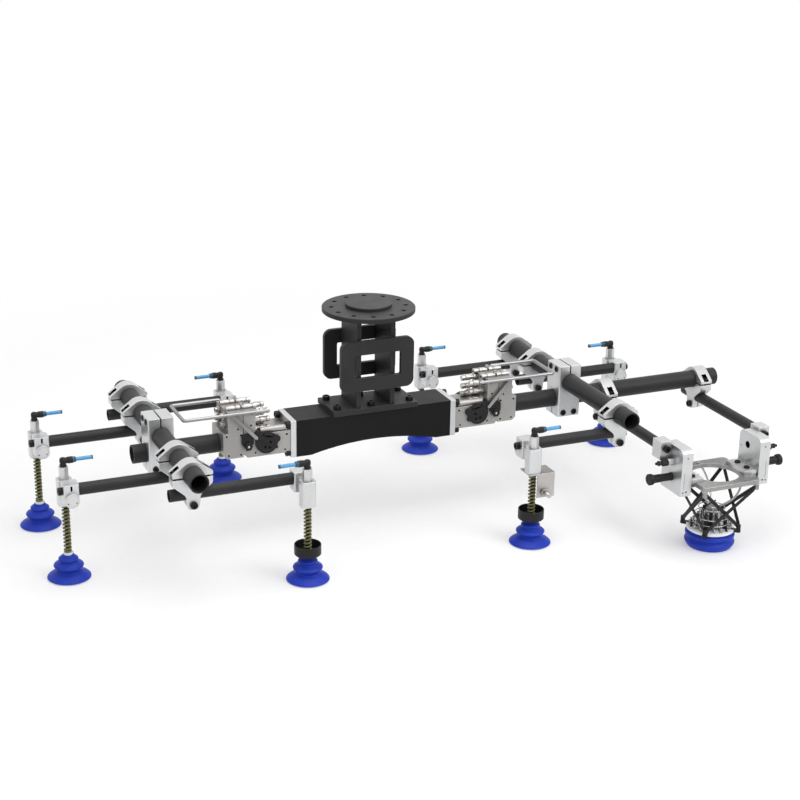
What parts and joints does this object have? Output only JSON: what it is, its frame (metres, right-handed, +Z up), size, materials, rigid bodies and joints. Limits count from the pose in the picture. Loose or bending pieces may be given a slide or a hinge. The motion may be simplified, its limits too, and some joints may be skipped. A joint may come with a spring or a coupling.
{
  "type": "vacuum suction end effector",
  "caption": "Robot end effector on a flanged tower and beam, with carbon tube arms that carry sprung bellows suction cups and a strut-held large cup.",
  "frame": {"origin": "centre of the robot flange's mating face, on the flange's axis", "axes": "+Z up out of the flange towards the robot, +X along the main tubes towards the large cup, +Y away from the large cup's side"},
  "size_m": [1.6189, 0.6944, 0.5575],
  "materials": {
    "black_satin": "satin black anodised aluminium",
    "carbon_tube": "matt wound carbon fibre tube",
    "carbon_flat": "matt carbon fibre plate",
    "black_steel": "black oxide steel",
    "black_plastic": "black moulded plastic",
    "fitting_black": "black glass-filled plastic, slightly glossy",
    "spring_steel": "olive coated spring wire",
    "bright_steel": "ground stainless steel",
    "aluminium_milled": "clear anodised aluminium, fine milled",
    "coupler_metal": "warm grey cast aluminium, blasted",
    "blue_rubber": "royal blue silicone rubber, satin"
  },
  "bodies": {
    "frame": {"robot_flange": "black_satin", "tower_legs": "black_satin", "tower_frames": "black_satin", "base_plate": "black_satin", "center_beam": "black_satin", "end_plates": "aluminium_milled", "coupler_bodies": "coupler_metal", "coupler_tool_halves": "coupler_metal", "air_couplings": "coupler_metal", "latch_knobs": "black_plastic", "large_tubes": "carbon_tube", "small_tubes": "carbon_tube", "cross_blocks": "aluminium_milled", "clamp_caps": "aluminium_milled", "clamp_jaws": "aluminium_milled", "socket_screws": "black_steel", "cup_holders": "aluminium_milled", "guide_bushes": "aluminium_milled", "sensor_bracket": "aluminium_milled", "head_brackets": "aluminium_milled", "head_clamps": "aluminium_milled", "head_ring": "aluminium_milled", "head_struts": "carbon_flat", "head_platform": "aluminium_milled", "head_cup": "blue_rubber", "index_barrels": "black_plastic"},
    "handle_left": {"handle_left": "bright_steel", "cam_left": "black_plastic"},
    "handle_right": {"handle_right": "bright_steel", "cam_right": "black_plastic"},
    "index_left": {"index_knob_left": "black_plastic"},
    "index_right": {"index_knob_right": "black_plastic"},
    "plunger_a": {"rod_a": "bright_steel", "elbow_a": "fitting_black", "spring_a": "spring_steel", "cup_a": "blue_rubber"},
    "plunger_b": {"rod_b": "bright_steel", "elbow_b": "fitting_black", "spring_b": "spring_steel", "cup_b": "blue_rubber"},
    "plunger_c": {"rod_c": "bright_steel", "elbow_c": "fitting_black", "spring_c": "spring_steel", "cup_c": "blue_rubber"},
    "plunger_d": {"rod_d": "bright_steel", "elbow_d": "fitting_black", "spring_d": "spring_steel", "cup_d": "blue_rubber"},
    "plunger_e": {"rod_e": "bright_steel", "elbow_e": "fitting_black", "spring_e": "spring_steel", "cup_e": "blue_rubber"},
    "plunger_f": {"rod_f": "bright_steel", "elbow_f": "fitting_black", "spring_f": "spring_steel", "cup_f": "blue_rubber"},
    "plunger_g": {"rod_g": "bright_steel", "elbow_g": "fitting_black", "spring_g": "spring_steel", "cup_g": "blue_rubber"}
  },
  "joints": [
    {"name": "handle_left_lift", "type": "hinge", "parent": "frame", "child": "handle_left", "pos_m": [-0.241, 0, -0.266], "axis": [0, 1, 0], "range_deg": [0, 55]},
    {"name": "index_left_pull", "type": "slide", "parent": "frame", "child": "index_left", "axis": [-1, 0, 0], "range_m": [0, 0.009], "stiffness_N_per_m": 600, "springref_m": -0.01},
    {"name": "handle_right_lift", "type": "hinge", "parent": "frame", "child": "handle_right", "pos_m": [0.241, 0, -0.266], "axis": [0, -1, 0], "range_deg": [0, 55]},
    {"name": "index_right_pull", "type": "slide", "parent": "frame", "child": "index_right", "axis": [1, 0, 0], "range_m": [0, 0.009], "stiffness_N_per_m": 600, "springref_m": -0.01},
    {"name": "plunger_a_stroke", "type": "slide", "parent": "frame", "child": "plunger_a", "axis": [0, 0, 1], "range_m": [0, 0.02], "stiffness_N_per_m": 900, "springref_m": -0.03, "deforming": ["spring_a"]},
    {"name": "plunger_b_stroke", "type": "slide", "parent": "frame", "child": "plunger_b", "axis": [0, 0, 1], "range_m": [0, 0.02], "stiffness_N_per_m": 900, "springref_m": -0.03, "deforming": ["spring_b"]},
    {"name": "plunger_c_stroke", "type": "slide", "parent": "frame", "child": "plunger_c", "axis": [0, 0, 1], "range_m": [0, 0.02], "stiffness_N_per_m": 900, "springref_m": -0.03, "deforming": ["spring_c"]},
    {"name": "plunger_d_stroke", "type": "slide", "parent": "frame", "child": "plunger_d", "axis": [0, 0, 1], "range_m": [0, 0.02], "stiffness_N_per_m": 900, "springref_m": -0.03, "deforming": ["spring_d"]},
    {"name": "plunger_e_stroke", "type": "slide", "parent": "frame", "child": "plunger_e", "axis": [0, 0, 1], "range_m": [0, 0.02], "stiffness_N_per_m": 900, "springref_m": -0.03, "deforming": ["spring_e"]},
    {"name": "plunger_f_stroke", "type": "slide", "parent": "frame", "child": "plunger_f", "axis": [0, 0, 1], "range_m": [0, 0.02], "stiffness_N_per_m": 900, "springref_m": -0.03, "deforming": ["spring_f"]},
    {"name": "plunger_g_stroke", "type": "slide", "parent": "frame", "child": "plunger_g", "axis": [0, 0, 1], "range_m": [0, 0.02], "stiffness_N_per_m": 900, "springref_m": -0.03, "deforming": ["spring_g"]}
  ]
}
